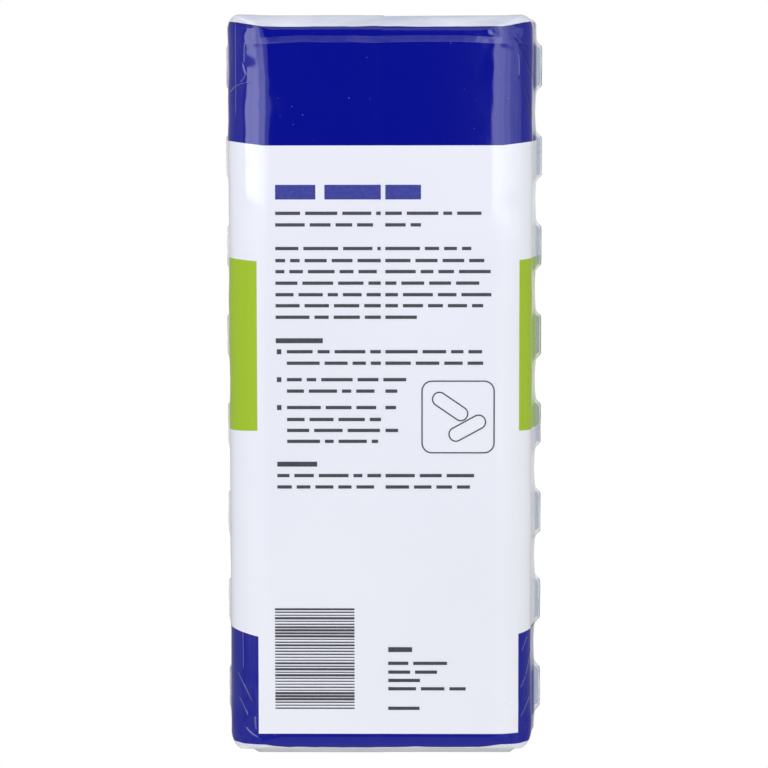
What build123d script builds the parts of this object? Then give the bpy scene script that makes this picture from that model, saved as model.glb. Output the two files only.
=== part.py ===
from build123d import *
from math import sqrt
import os

# Two-week pill organizer. Two identical trays of eight compartments are keyed together
# along their long walls. Every compartment has a hinged lid with a thumb tab, and a
# shrink film wraps the base, the sides and the ends of the pair.
# X runs along the trays, Y across them and Z up; the base lies on Z = 0.

# Driving dimensions, in millimetres
compartments = 8
pitch = 27.7
tray_height = 27.5
rim_reach = 46.0
mating_gap = 0.3
overrun = 1.0

# Tray walls
outer_wall = 1.6
floor_wall = 1.6
divider = 1.4
end_wall = 2.1
wall_draft = 2.6
end_draft = 0.8
base_radius = 10.0
end_radius = 4.0
keel_radius = 3.0
corner_radius = 6.5

# Rail between the mating face and the compartments, cored from below
rail_width = 6.85
rail_wall = 1.6
rail_deck = 2.6
core_wall = 1.2

# Compartment
scoop_radius = 7.0
compartment_corner = 4.0

# Studs and round-bottomed notches that lock the trays together
studs_per_half = 2
stud_depth = 9.0
stud_neck_radius = 2.0
stud_head_radius = 3.4
stud_head = 1.35
stud_play = 0.2
notch_lip = 1.3
notch_play = 0.1

# Lid hinge: barrel and pintles on the lid, ears on the tray
hinge_overhang = 1.0
barrel_radius = 1.5
pintle_radius = 0.75
pintle_clearance = 0.05
pintle_end_gap = 0.3
ear_width = 3.0
end_ear_width = 2.0
ear_side_gap = 0.25
shoulder_gap = 0.4

# Lid
lid_gap = 0.5
lid_seat = 0.15
lid_thickness = 1.8
lid_corner = 4.0
lid_edge_radius = 0.6
plug_depth = 2.2
plug_wall = 1.1
plug_play = 0.5
plug_inner_corner_share = 0.7
tab_reach = 2.3
tab_root = 13.8
tab_tip = 11.0

# Film
film = 0.3
film_play = 0.1
film_seam = 0.1
tab_cover = 0.3
valley_standoff = 1.2
valley_sag = 0.5
cover_foot = 0.8
cover_tip = 0.4
foot_standoff = 6.2
corner_play = 0.45
shoulder_rise = 1.7
collar_drop = 0.4
film_top_drop = 0.15

# Derived levels and places of the tray, in the frame of the trays' centre
base_z = film
rim_z = base_z + tray_height
floor_z = base_z + floor_wall
mate_y = mating_gap / 2
rail_y = mate_y + rail_width
pocket_y = rim_reach - outer_wall
base_reach = rim_reach - wall_draft
wall_slope = wall_draft / tray_height
row_length = compartments * pitch
rim_half = (row_length - divider) / 2 + end_wall
base_half = rim_half - end_draft
end_slope = end_draft / tray_height
compartment_xs = [(i - (compartments - 1) / 2) * pitch for i in range(compartments)]
divider_xs = [i * pitch - row_length / 2 for i in range(1, compartments)]

# A stud leaves its notch on a small arc round the middle of the trays, so the notch is
# wider than the stud by the arc's sway
stud_z = rim_z - stud_depth
stud_xs = divider_xs[-studs_per_half:]
stud_sway = (stud_depth + stud_head_radius) ** 2 / (8 * stud_xs[0])
notch_room = stud_sway + notch_play
core_length = pitch - 2 * (stud_head_radius + notch_room + core_wall)
core_width = rail_width - 2 * rail_wall

# Derived places of the hinge and the lid
lid_z = rim_z + lid_seat
hinge_y = rail_y + hinge_overhang
hinge_z = lid_z + barrel_radius
barrel_half = (pitch - ear_width) / 2 - ear_side_gap
pintle_half = pitch / 2 - pintle_end_gap
lid_half = (pitch - lid_gap) / 2
shoulder_y = hinge_y + barrel_radius + shoulder_gap
plug_start = shoulder_y + lid_edge_radius / 2
plug_length = pitch - divider - 2 * plug_play
plug_width = pocket_y - plug_play - plug_start
plug_corner = compartment_corner - plug_play

# Derived places of the film's outer face
film_shoulder = base_z + base_radius + shoulder_rise
film_wall_y = base_reach + wall_slope * (film_shoulder - base_z) + film_play + film
film_end_x = base_half + end_slope * (film_shoulder - base_z) + film_play + film
valley_reach = rim_reach + valley_standoff
tip_reach = rim_reach + tab_reach + tab_cover + film
collar_z = lid_z - collar_drop
film_top_z = lid_z + lid_thickness - film_top_drop
head_x = rim_half + film_play + film
foot_x = -(rim_half + foot_standoff)
centre_x = -(head_x + foot_x) / 2
rounded_off = corner_radius * (2 - sqrt(2))
film_corner = rounded_off - (rim_half - film_end_x) - (rim_reach - film_wall_y) - 2 * film - corner_play


def tapered_profile(plane, low_z, low_span, high_z, high_span, low_rounds):
    """Draw a four-sided profile on a plane, with its two lower corners rounded where asked."""
    with BuildSketch(plane) as profile:
        with BuildLine():
            Polyline(
                (low_span[0], low_z),
                (low_span[1], low_z),
                (high_span[1], high_z),
                (high_span[0], high_z),
                close=True,
            )
        make_face()
        for end, radius in zip((0, -1), low_rounds):
            if radius:
                fillet(vertices().group_by(Axis.Y)[0].sort_by(Axis.X)[end], radius)
    return profile.sketch


# One compartment, as the space that it takes out of the tray
with BuildPart() as compartment:
    scoop = tapered_profile(
        Plane.YZ,
        floor_z, (rail_y, base_reach + wall_slope * floor_wall - outer_wall),
        rim_z + overrun, (rail_y, pocket_y + wall_slope * overrun),
        (scoop_radius, base_radius - outer_wall),
    )
    extrude(scoop, amount=(pitch - divider) / 2, both=True)
    end_edges = compartment.faces().filter_by(Axis.X).edges()
    fillet(end_edges.filter_by(lambda edge: edge.center().Z < rim_z + overrun / 2), compartment_corner)

# The tray on the +Y side, centred on X = 0
with BuildPart() as tray:
    section = tapered_profile(
        Plane.YZ, base_z, (mate_y, base_reach), rim_z, (mate_y, rim_reach), (keel_radius, base_radius)
    )
    extrude(section, amount=rim_half, both=True)
    side = tapered_profile(
        Plane.XZ, base_z, (-base_half, base_half), rim_z, (-rim_half, rim_half), (end_radius, end_radius)
    )
    extrude(side, amount=-(rim_reach + overrun), mode=Mode.INTERSECT)
    with BuildSketch(Plane.XY):
        with BuildLine():
            Polyline(
                (-rim_half, 0), (rim_half, 0), (rim_half, rim_reach), (-rim_half, rim_reach), close=True
            )
        make_face()
        fillet(vertices().group_by(Axis.Y)[-1], corner_radius)
    extrude(amount=rim_z + overrun, mode=Mode.INTERSECT)

    with Locations(*[(x, 0, 0) for x in compartment_xs]):
        add(compartment.part, mode=Mode.SUBTRACT)

    # Cores that keep the rail's walls thin
    with BuildSketch(Plane.XY.offset(base_z - overrun)):
        with Locations(*[(x, mate_y + rail_width / 2) for x in compartment_xs]):
            Rectangle(core_length, core_width)
    extrude(amount=tray_height - rail_deck + overrun, mode=Mode.SUBTRACT)

    # Notches on the +X half: a narrow mouth in the mating face, a wider space behind it
    for radius, start, depth in (
        (stud_neck_radius + notch_room, 0, mate_y + notch_lip),
        (stud_head_radius + notch_room, mate_y + notch_lip, stud_play + stud_head + stud_play),
    ):
        with BuildSketch(Plane.XZ.offset(-start)):
            with Locations(*[(x, stud_z) for x in stud_xs]):
                Circle(radius)
            with Locations(*[(x, stud_z + (stud_depth + overrun) / 2) for x in stud_xs]):
                Rectangle(2 * radius, stud_depth + overrun)
        extrude(amount=-depth, mode=Mode.SUBTRACT)

    # Headed studs on the -X half, reaching into the other tray's notches
    neck_end = mate_y + notch_lip + stud_play
    for radius, start, end in (
        (stud_neck_radius, -mate_y, neck_end),
        (stud_head_radius, neck_end, neck_end + stud_head),
    ):
        with BuildSketch(Plane.XZ.offset(start)):
            with Locations(*[(-x, stud_z) for x in stud_xs]):
                Circle(radius)
        extrude(amount=end - start)

    # Hinge ears on the dividers and at both ends, bored through for the lids' pintles
    ears = [(x, ear_width) for x in divider_xs]
    ears += [(side * (row_length - ear_width + end_ear_width) / 2, end_ear_width) for side in (-1, 1)]
    for x, width in ears:
        with BuildSketch(Plane.YZ.offset(x - width / 2)):
            with Locations((hinge_y, hinge_z)):
                Circle(barrel_radius)
            with Locations((hinge_y, (hinge_z + rim_z - lid_seat) / 2)):
                Rectangle(2 * barrel_radius, hinge_z - rim_z + lid_seat)
        extrude(amount=width)
    with BuildSketch(Plane.YZ.offset(-rim_half)):
        with Locations((hinge_y, hinge_z)):
            Circle(pintle_radius + pintle_clearance)
    extrude(amount=2 * rim_half, mode=Mode.SUBTRACT)

# The lid of a compartment on the +Y side, centred on X = 0
with BuildPart() as lid:
    with BuildSketch(Plane.XY.offset(lid_z)):
        with BuildLine():
            Polyline(
                (barrel_half, hinge_y),
                (barrel_half, shoulder_y),
                (lid_half, shoulder_y),
                (lid_half, rim_reach),
                (-lid_half, rim_reach),
                (-lid_half, shoulder_y),
                (-barrel_half, shoulder_y),
                (-barrel_half, hinge_y),
                close=True,
            )
        make_face()
        fillet(vertices().group_by(Axis.Y)[-1], lid_corner)
        with BuildLine():
            Polyline(
                (tab_root / 2, rim_reach - tab_reach),
                (tab_root / 2, rim_reach),
                (tab_tip / 2, rim_reach + tab_reach),
                (-tab_tip / 2, rim_reach + tab_reach),
                (-tab_root / 2, rim_reach),
                (-tab_root / 2, rim_reach - tab_reach),
                close=True,
            )
        make_face()
        fillet(vertices().group_by(Axis.Y)[-1], tab_reach / 2)
    extrude(amount=lid_thickness)
    top_edges = lid.faces().sort_by(Axis.Z)[-1].edges()
    free_edges = top_edges.filter_by(lambda edge: edge.center().Y > shoulder_y + lid_edge_radius)
    fillet(free_edges, lid_edge_radius)

    # Plug rim that drops into the compartment's mouth
    with BuildSketch(Plane.XY.offset(rim_z - plug_depth)):
        with Locations((0, plug_start + plug_width / 2)):
            RectangleRounded(plug_length, plug_width, plug_corner)
            RectangleRounded(
                plug_length - 2 * plug_wall,
                plug_width - 2 * plug_wall,
                plug_corner * plug_inner_corner_share,
                mode=Mode.SUBTRACT,
            )
    extrude(amount=plug_depth + lid_seat)

    # Hinge barrel with a pintle at each end
    for radius, half in ((barrel_radius, barrel_half), (pintle_radius, pintle_half)):
        with BuildSketch(Plane.YZ.offset(-half)):
            with Locations((hinge_y, hinge_z)):
                Circle(radius)
        extrude(amount=2 * half)


def film_plan(level, head, foot, seam, wall, shoulder, valley, tip):
    """Draw the film's plan on the +Y side at a level, with the thumb tabs' covers along it."""
    foot_half = tab_root / 2 + cover_foot
    tip_half = tab_tip / 2 + cover_tip
    with BuildSketch(Plane.XY.offset(level)) as plan:
        with BuildLine():
            last = (head - film_corner, wall)
            Polyline((head, seam), (head, wall - film_corner), last)
            for x in reversed(compartment_xs):
                near = (x + foot_half, shoulder)
                if valley < shoulder and x < compartment_xs[-1]:
                    ThreePointArc(last, (x + pitch / 2, valley), near)
                else:
                    Line(last, near)
                last = (x - foot_half, shoulder)
                Polyline(near, (x + tip_half, tip), (x - tip_half, tip), last)
            Polyline(last, (foot + film_corner, wall), (foot, wall - film_corner), (foot, seam))
            Line((foot, seam), (head, seam))
        make_face()
    return plan.sketch


def film_block(inset, seam, low_z, high_z):
    """Make the solid inside the film's outer face, or with an inset inside its inner face."""
    skin = film_play + film - inset
    wall = film_wall_y - inset
    end = film_end_x - inset
    valley = valley_reach - inset
    with BuildPart() as block:
        section = tapered_profile(
            Plane.YZ, low_z, (seam, base_reach + skin), film_shoulder, (seam, wall),
            (0, base_radius + skin),
        )
        extrude(section, amount=end, both=True)
        side = tapered_profile(
            Plane.XZ, low_z, (-base_half - skin, base_half + skin), film_shoulder, (-end, end),
            (end_radius + skin, end_radius + skin),
        )
        extrude(side, amount=wall + overrun, both=True, mode=Mode.INTERSECT)
        low_plan = film_plan(film_shoulder, end, -end, seam, wall, wall, wall, wall)
        extrude(low_plan, amount=-film_shoulder, mode=Mode.INTERSECT)
        high_plan = film_plan(
            collar_z, head_x - inset, foot_x + inset, seam,
            valley, valley + valley_sag, valley, tip_reach - inset,
        )
        loft(sections=[low_plan, high_plan], ruled=True)
        extrude(high_plan, amount=high_z - collar_z)
    return block


film_outer = film_block(0, film_seam / 2, 0, film_top_z)
film_inner = film_block(film, -overrun, film, film_top_z + overrun)

# The film round the tray on the +Y side, and its mirror image round the other tray
with BuildPart() as film_half:
    add(film_outer.part)
    add(film_inner.part, mode=Mode.SUBTRACT)
with BuildPart() as film_mirrored:
    mirror(film_half.part, about=Plane.XZ)


def place(blank, label, x, turn):
    """Put a copy of a piece at its place on the organizer, turned about Z, and write it."""
    with BuildPart() as piece:
        with Locations(Location((centre_x + x, 0, 0), (0, 0, turn))):
            add(blank.part)
    piece.part.label = label
    export_step(piece.part, f"parts/{label}.step")


os.makedirs("parts", exist_ok=True)
for row, turn in (("rear", 0), ("front", 180)):
    place(tray, f"tray_{row}", 0, turn)
    for number, x in enumerate(compartment_xs, start=1):
        place(lid, f"lid_{row}_{number}", x, turn)
place(film_half, "film_rear", 0, 0)
place(film_mirrored, "film_front", 0, 0)
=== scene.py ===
"""Looks of a two-row weekly pill organizer in its printed shrink film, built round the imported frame."""

import logging
import math
from collections.abc import Sequence
from dataclasses import dataclass
from enum import Enum
from typing import Any

import bmesh
import bpy
import numpy as np
from mathutils import Matrix, Vector


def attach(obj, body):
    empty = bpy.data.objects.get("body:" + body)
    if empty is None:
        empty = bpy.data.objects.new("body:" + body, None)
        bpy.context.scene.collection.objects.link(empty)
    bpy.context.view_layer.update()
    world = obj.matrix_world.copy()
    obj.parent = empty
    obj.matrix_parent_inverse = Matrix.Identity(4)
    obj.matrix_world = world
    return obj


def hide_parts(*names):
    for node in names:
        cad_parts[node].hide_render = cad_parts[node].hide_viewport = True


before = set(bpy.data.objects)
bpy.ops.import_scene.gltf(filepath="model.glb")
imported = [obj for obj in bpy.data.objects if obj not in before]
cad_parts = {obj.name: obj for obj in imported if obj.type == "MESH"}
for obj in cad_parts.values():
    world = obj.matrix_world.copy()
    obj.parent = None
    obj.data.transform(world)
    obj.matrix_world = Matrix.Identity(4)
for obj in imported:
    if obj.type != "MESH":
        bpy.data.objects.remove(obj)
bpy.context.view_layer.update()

LOG = logging.getLogger("pill_organizer")
MM = 0.001
CENTRE_X = 2.9
PITCH = 27.7
COMPARTMENTS = 8
COMPARTMENT_XS = tuple((n - (COMPARTMENTS - 1) / 2) * PITCH for n in range(COMPARTMENTS))
# Pixel of the photograph's frame at the trays' centre; pixels a millimetre on the film and on the base
PHOTO_CENTRE = (383.2, 388.7)
PHOTO_SCALE = 3.28
BASE_SCALE = 3.3
SHARP_ANGLE = math.radians(50)

Colour = tuple[float, float, float]
Span = tuple[float, float]


class Row(Enum):
    """The two rows of compartments, with the sign of their side of the middle."""

    FRONT = -1
    REAR = 1

    @property
    def label(self) -> str:
        """Name of the row in piece and body names."""
        return self.name.lower()


class LidMark(Enum):
    """Raised marks on the lids, in the order of one row; a space keeps two equal initials apart."""

    SUNDAY = "S"
    MONDAY = "M"
    TUESDAY = "T "
    WEDNESDAY = "W"
    THURSDAY = "T"
    FRIDAY = "F"
    SATURDAY = "S "
    EXTRA = "+"


def srgb(red: float, green: float, blue: float) -> Colour:
    """Turn a display colour into the linear colour that a shader takes.

    Args:
        red: Red, 0 to 255.
        green: Green, 0 to 255.
        blue: Blue, 0 to 255.

    Returns:
        The linear colour, each part 0 to 1.
    """
    parts = (value / 255 for value in (red, green, blue))
    return tuple(p / 12.92 if p <= 0.04045 else ((p + 0.055) / 1.055) ** 2.4 for p in parts)


class Graph:
    """A node tree being built."""

    def __init__(self, tree: bpy.types.NodeTree) -> None:
        """Take over a tree and empty it."""
        self.tree = tree
        tree.nodes.clear()

    def node(
        self,
        kind: str,
        settings: dict[str, Any] | None = None,
        sockets: dict[str | int, Any] | None = None,
    ) -> bpy.types.Node:
        """Add a node.

        Args:
            kind: The node's type name.
            settings: Attributes of the node, set first.
            sockets: Values or links of its inputs, by name or by place.

        Returns:
            The new node.
        """
        made = self.tree.nodes.new(kind)
        for name, value in (settings or {}).items():
            setattr(made, name, value)
        for key, value in (sockets or {}).items():
            socket = made.inputs[key]
            if isinstance(value, Value):
                self.tree.links.new(value.socket, socket)
            elif isinstance(value, bpy.types.NodeSocket):
                self.tree.links.new(value, socket)
            else:
                socket.default_value = value
        return made

    def value(
        self,
        kind: str,
        settings: dict[str, Any],
        sockets: dict[str | int, Any],
        out: str | int = 0,
    ) -> "Value":
        """Add a node and wrap one of its outputs."""
        return Value(self, self.node(kind, settings, sockets).outputs[out])

    def mix(self, share: Any, low: Any, high: Any) -> "Value":
        """Mix two colours by a share from 0 to 1."""
        ends = [(*c, 1) if isinstance(c, tuple) and len(c) == 3 else c for c in (low, high)]
        settings = {"data_type": "RGBA", "clamp_factor": True}
        return self.value("ShaderNodeMix", settings, {0: share, 6: ends[0], 7: ends[1]}, 2)

    def noise(self, place: Any, pattern: "Pattern") -> "Value":
        """Add a noise texture on a place."""
        if pattern.stretch:
            place = self.value("ShaderNodeMapping", {}, {"Vector": place, "Scale": pattern.stretch})
        sockets = {
            "Vector": place,
            "Scale": pattern.scale,
            "Detail": pattern.detail,
            "Roughness": pattern.rough,
        }
        return self.value("ShaderNodeTexNoise", {}, sockets)


@dataclass(frozen=True)
class Pattern:
    """A noise pattern: cycles a metre, octaves, their strength, and a scale by axis to draw it out."""

    scale: float
    detail: float = 2.0
    rough: float = 0.5
    stretch: tuple[float, float, float] | None = None


@dataclass(frozen=True)
class Value:
    """A number in a node tree, on which Python's operators add Math nodes."""

    graph: Graph
    socket: bpy.types.NodeSocket

    def _math(self, operation: str, *others: Any, clamp: bool = False) -> "Value":
        """Add a Math node on this value and others."""
        sockets = dict(enumerate((self, *others)))
        return self.graph.value("ShaderNodeMath", {"operation": operation, "use_clamp": clamp}, sockets)

    def _from(self, operation: str, first: Any) -> "Value":
        """Add a Math node whose first input is another number."""
        settings = {"operation": operation}
        return self.graph.value("ShaderNodeMath", settings, {0: first, 1: self})

    def __add__(self, other: Any) -> "Value":
        """Sum."""
        return self._math("ADD", other)

    __radd__ = __add__

    def __sub__(self, other: Any) -> "Value":
        """Difference."""
        return self._math("SUBTRACT", other)

    def __rsub__(self, other: Any) -> "Value":
        """Difference from a number."""
        return self._from("SUBTRACT", other)

    def __mul__(self, other: Any) -> "Value":
        """Product."""
        return self._math("MULTIPLY", other)

    __rmul__ = __mul__

    def __truediv__(self, other: Any) -> "Value":
        """Quotient."""
        return self._math("DIVIDE", other)

    def __rtruediv__(self, other: Any) -> "Value":
        """Quotient of a number by this value."""
        return self._from("DIVIDE", other)

    def __abs__(self) -> "Value":
        """Size without sign."""
        return self._math("ABSOLUTE")

    def over(self, other: Any) -> "Value":
        """The larger of two values."""
        return self._math("MAXIMUM", other)

    def under(self, other: Any) -> "Value":
        """The smaller of two values."""
        return self._math("MINIMUM", other)

    def past(self, edge: Any, soft: float) -> "Value":
        """A mask that goes from 0 to 1 where this value passes an edge, over a soft width."""
        return (self - edge)._math("MULTIPLY_ADD", 1 / soft, 0.5, clamp=True)


def new_material(name: str) -> tuple[bpy.types.Material, Graph]:
    """Make an empty node material.

    Args:
        name: The material's name.

    Returns:
        The material and its graph.
    """
    material = bpy.data.materials.new(name)
    material.use_nodes = True
    return material, Graph(material.node_tree)


def surface(graph: Graph, sockets: dict[str, Any]) -> None:
    """End a material's graph in one Principled shader with these inputs."""
    shader = graph.node("ShaderNodeBsdfPrincipled", {}, sockets)
    graph.node("ShaderNodeOutputMaterial", {}, {"Surface": shader.outputs[0]})


def object_place(graph: Graph) -> tuple[Value, Value, Value, Value]:
    """Read a piece's Object coordinates.

    Args:
        graph: The material's graph.

    Returns:
        The place itself, then x from the trays' centre, y and z in millimetres.
    """
    place = graph.value("ShaderNodeTexCoord", {}, {}, "Object")
    split = graph.node("ShaderNodeSeparateXYZ", {}, {0: place})
    x, y, z = (Value(graph, out) * (1 / MM) for out in split.outputs)
    return place, x - CENTRE_X, y, z


@dataclass(frozen=True)
class MouldedPlastic:
    """Translucent moulded plastic of a tray or a lid."""

    name: str
    colour: Colour
    deep: Colour
    roughness: float = 0.25
    see_through: float = 0.0
    glow: float = 0.3
    glow_depth: float = 2.5
    deep_level: Span = (12, 26)
    grain_depth: float = 0.2
    cloud: Pattern = Pattern(55, 3)
    grain: Pattern = Pattern(2600)
    scuff: Pattern = Pattern(420, 4, 0.65, (1, 6, 1))
    scuff_edge: Span = (0.62, 0.12)

    def material(self) -> bpy.types.Material:
        """Make the plastic: faint flow clouding, a fine moulded grain and soft scuffs."""
        material, graph = new_material(self.name)
        place, _, _, z = object_place(graph)
        cloud = graph.noise(place, self.cloud)
        grain = graph.noise(place, self.grain)
        scuff = graph.noise(place, self.scuff).past(*self.scuff_edge)
        low = 1 - z.past(*self.deep_level)
        bump = {"Strength": 0.12, "Distance": self.grain_depth * MM, "Height": grain + cloud * 2}
        surface(graph, {
            "Base Color": graph.mix(cloud * 0.5 + low * 0.35, self.colour, self.deep),
            "Roughness": cloud * 0.1 + scuff * 0.12 + self.roughness,
            "IOR": 1.49,
            "Transmission Weight": self.see_through,
            "Subsurface Weight": self.glow,
            "Subsurface Radius": (1.0, 1.0, 1.0),
            "Subsurface Scale": self.glow_depth * MM,
            "Normal": graph.value("ShaderNodeBump", {}, bump),
        })
        return material


@dataclass(frozen=True)
class Ink:
    """Ink of one colour, on the film or on a raised mark."""

    name: str
    colour: Colour
    roughness: float = 0.28
    thin: float = 0.06
    cover: Pattern = Pattern(900, 3)

    def material(self) -> bpy.types.Material:
        """Make the ink, a little uneven in cover."""
        material, graph = new_material(self.name)
        place, _, _, _ = object_place(graph)
        cover = graph.noise(place, self.cover)
        paler = tuple(c + self.thin * (1 - c) for c in self.colour)
        surface(graph, {
            "Base Color": graph.mix(cover, self.colour, paler),
            "Roughness": cover * 0.15 + self.roughness,
            "IOR": 1.5,
        })
        return material


def plan_of(pixel: tuple[float, float]) -> tuple[float, float]:
    """Place on the base of a pixel of the photograph's frame.

    Args:
        pixel: Column and row.

    Returns:
        The place as x from the trays' centre and y, in millimetres.
    """
    return (PHOTO_CENTRE[1] - pixel[1]) / PHOTO_SCALE, (pixel[0] - PHOTO_CENTRE[0]) / PHOTO_SCALE


@dataclass(frozen=True)
class Crease:
    """A sharp crease of the film: its ends in the photograph's frame, its sizes in millimetres."""

    start: tuple[float, float]
    end: tuple[float, float]
    height: float = 0.2
    half_width: float = 0.5
    bow: float = 0.0


@dataclass(frozen=True)
class PrintedFilm:
    """Glossy shrink film with its colour blocks, clear at both ends and thin over the tabs."""

    name: str = "printed_film"
    white: Colour = srgb(247, 248, 249)
    white_shade: Colour = srgb(238, 240, 242)
    blue: Colour = srgb(4, 14, 140)
    # Dark blue for painted shade: the fold shadow at the print's head edge and the crease valleys.
    blue_painted_shade: Colour = srgb(6, 9, 62)
    green: Colour = srgb(164, 197, 30)
    clear: Colour = srgb(220, 225, 232)
    haze: Colour = srgb(244, 246, 249)
    tip_shade: Colour = srgb(62, 66, 94)
    edge: float = 0.12
    corner_from: float = 36.0
    head_band: float = 73.0
    head_band_lean: float = 0.12
    green_high: float = 38.0
    green_high_lean: float = 0.08
    green_low: float = -13.2
    green_low_lean: float = -0.05
    foot_strip: float = -77.0
    foot_strip_lean: float = 0.2
    foot_bar: float = -106.5
    front_strip: float = 38.2
    rear_strip: float = 41.2
    print_head: float = 108.5
    print_head_lean: float = 0.17
    print_head_wave: float = 0.8
    print_foot: float = -111.0
    print_foot_wave: float = 1.6
    foot_curl: float = 1.0
    curl_edge: Span = (32.5, 7.0)
    fold_shadow_width: float = 0.35
    fold_shadow_soft: float = 0.3
    end_cover: float = 0.7
    end_streak: float = 0.2
    tab_cover: float = 0.42
    thin_level: float = 26.0
    thin_wave: float = 3.0
    thin_soft: float = 3.5
    thin_front: Span = (48.4, 0.5)
    thin_rear: Span = (46.7, 0.7)
    tip_reach: Span = (48.2, 0.3)
    tip_low: Span = (26.5, 0.3)
    tip_high: Span = (27.7, 0.3)
    tip_shade_share: float = 0.5
    ridge_highlight: float = 0.14
    valley_shade: float = 0.6
    step_start: float = 92.0
    step_top: float = 103.9
    step_foot: float = 105.8
    step_drop: float = 0.31
    step_bend: float = 0.5
    step_bend_edge: Span = (30.0, 12.0)
    pucker_front: float = 1.0
    pucker_rear: float = 0.4
    pucker_side: Span = (34.0, 9.0)
    pucker_end: Span = (84.0, 18.0)
    ripple_depth: float = 0.3
    dust_scale: float = 420.0
    wave: Pattern = Pattern(70, stretch=(0.2, 1, 1))
    cloud: Pattern = Pattern(14)
    streak: Pattern = Pattern(260, 3, stretch=(1, 0.22, 0.8))
    dusty: Pattern = Pattern(30, 1)
    ripple: Pattern = Pattern(180, stretch=(0.6, 1, 1))
    fine: Pattern = Pattern(900)
    pucker: Pattern = Pattern(72, 1)
    creases: tuple[Crease, ...] = (
        Crease((230.0, 100.0), (249.8, 87.6), 0.25, 0.45, 1.1),
        Crease((241.5, 87.5), (248.0, 78.0), 0.15, 0.45, -0.3),
        Crease((248.0, 80.0), (244.8, 66.0), 0.1, 0.45, 0.3),
        Crease((246.5, 70.0), (247.5, 46.0), 0.08, 0.6, 0.2),
        Crease((237.6, 18.0), (237.2, 130.0), 0.08, 0.3, 0.0),
        Crease((531.2, 20.0), (531.4, 134.0), -0.1, 0.3, 0.0),
        Crease((511.5, 42.5), (531.0, 59.5), -0.1, 0.4, 0.1),
        Crease((515.0, 46.0), (531.0, 84.0), -0.12, 0.45, 0.3),
        Crease((516.5, 56.0), (517.3, 84.0), 0.08, 0.5, 0.2),
        Crease((520.5, 80.0), (531.0, 124.0), -0.1, 0.4, 0.2),
        Crease((521.5, 101.0), (530.5, 124.0), -0.08, 0.35, 0.1),
        Crease((235.0, 675.0), (254.2, 709.5), 0.16, 0.4, -0.2),
        Crease((242.4, 688.0), (254.6, 711.0), -0.12, 0.4, 0.1),
        Crease((236.8, 701.5), (247.4, 723.0), 0.2, 0.4, 0.2),
        Crease((241.8, 630.0), (242.2, 678.0), 0.06, 0.3, 0.0),
        Crease((243.5, 731.0), (260.0, 742.0), 0.12, 0.4, -0.7),
        Crease((253.5, 721.0), (255.5, 735.0), 0.16, 0.8, 0.0),
        Crease((528.0, 640.0), (521.5, 657.5), 0.08, 0.35, 0.0),
        Crease((531.8, 655.0), (525.4, 684.0), 0.1, 0.4, 0.1),
        Crease((526.0, 681.0), (520.3, 694.0), 0.12, 0.4, 0.1),
        Crease((530.8, 702.0), (519.8, 724.0), 0.1, 0.35, 0.1),
        Crease((518.5, 704.0), (508.0, 709.5), 0.1, 0.5, 0.2),
    )

    def _blocks(self, x: Value, y: Value) -> tuple[Value, Value]:
        """Masks of the blue and the green print."""
        outward = (abs(y) - self.corner_from).over(0)
        strip = (0 - y).past(self.front_strip, self.edge).over(y.past(self.rear_strip, self.edge))
        head = x.past(outward * self.head_band_lean + self.head_band, self.edge)
        foot = 1 - x.past(outward * self.foot_strip_lean + self.foot_strip, self.edge)
        bar = 1 - x.past(self.foot_bar, self.edge)
        blue = head.over((foot * strip).over(bar))
        top = 1 - x.past(outward * self.green_high_lean + self.green_high, self.edge)
        green = strip * top * x.past(outward * self.green_low_lean + self.green_low, self.edge)
        return blue, green

    def _ends(self, x: Value, y: Value, wave: Value) -> tuple[Value, Value]:
        """Masks of the clear film past both ends of the print, and of all past the start of the painted
        fold shadow, a dark line along the print's head edge.
        """
        outward = (abs(y) - self.corner_from).over(0)
        head = outward * self.print_head_lean + wave * self.print_head_wave + self.print_head
        curl = abs(y).past(*self.curl_edge) * self.foot_curl
        foot = curl + wave * self.print_foot_wave + self.print_foot
        ends = x.past(head, self.edge).over(1 - x.past(foot, self.edge))
        return ends, x.past(head - self.fold_shadow_width, self.fold_shadow_soft)

    def _creases(self, x: Value, y: Value) -> tuple[Value, Value, Value]:
        """Height of the sharp creases, and masks of the lines of ridges and of valleys, where painted
        highlight and painted shade go.
        """
        height = ridges = valleys = x * 0
        for crease in self.creases:
            (ax, ay), (bx, by) = plan_of(crease.start), plan_of(crease.end)
            dx, dy = bx - ax, by - ay
            length = math.hypot(dx, dy)
            along = ((x - ax) * dx + (y - ay) * dy) * (1 / length ** 2)
            fade = (along * (1 - along) * 4).over(0)
            aside = ((y - ay) * dx - (x - ax) * dy) * (1 / length) + fade * crease.bow
            line = (1 - abs(aside) * (1 / crease.half_width)).over(0) * (fade * 2).under(1)
            height = height + line * crease.height
            if crease.height > 0:
                ridges = ridges.over(line)
            else:
                valleys = valleys.over(line)
        return height, ridges, valleys

    def _dust(self, graph: Graph, place: Value) -> Value:
        """Share of white in scattered specks of dust."""
        cells = graph.node("ShaderNodeTexVoronoi", {}, {"Vector": place, "Scale": self.dust_scale}).outputs
        drawn = graph.node("ShaderNodeSeparateColor", {}, {0: cells["Color"]}).outputs
        speck = 1 - Value(graph, cells["Distance"]).past(0.05, 0.04)
        kept = Value(graph, drawn[0]).past(0.5, 0.1) * graph.noise(place, self.dusty).past(0.48, 0.15)
        return speck * kept * (Value(graph, drawn[1]) * 0.4 + 0.1)

    def _thin(self, y: Value, z: Value, wave: Value) -> tuple[Value, Value]:
        """Masks of the film stretched thin over the lids and tabs, and of the painted shade line along the
        tabs' tips.
        """
        top = z.past(self.thin_level + wave * self.thin_wave, self.thin_soft)
        thin = top.over((0 - y).past(*self.thin_front)).over(y.past(*self.thin_rear))
        tip = abs(y).past(*self.tip_reach) * z.past(*self.tip_low) * (1 - z.past(*self.tip_high))
        return thin, tip

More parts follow.
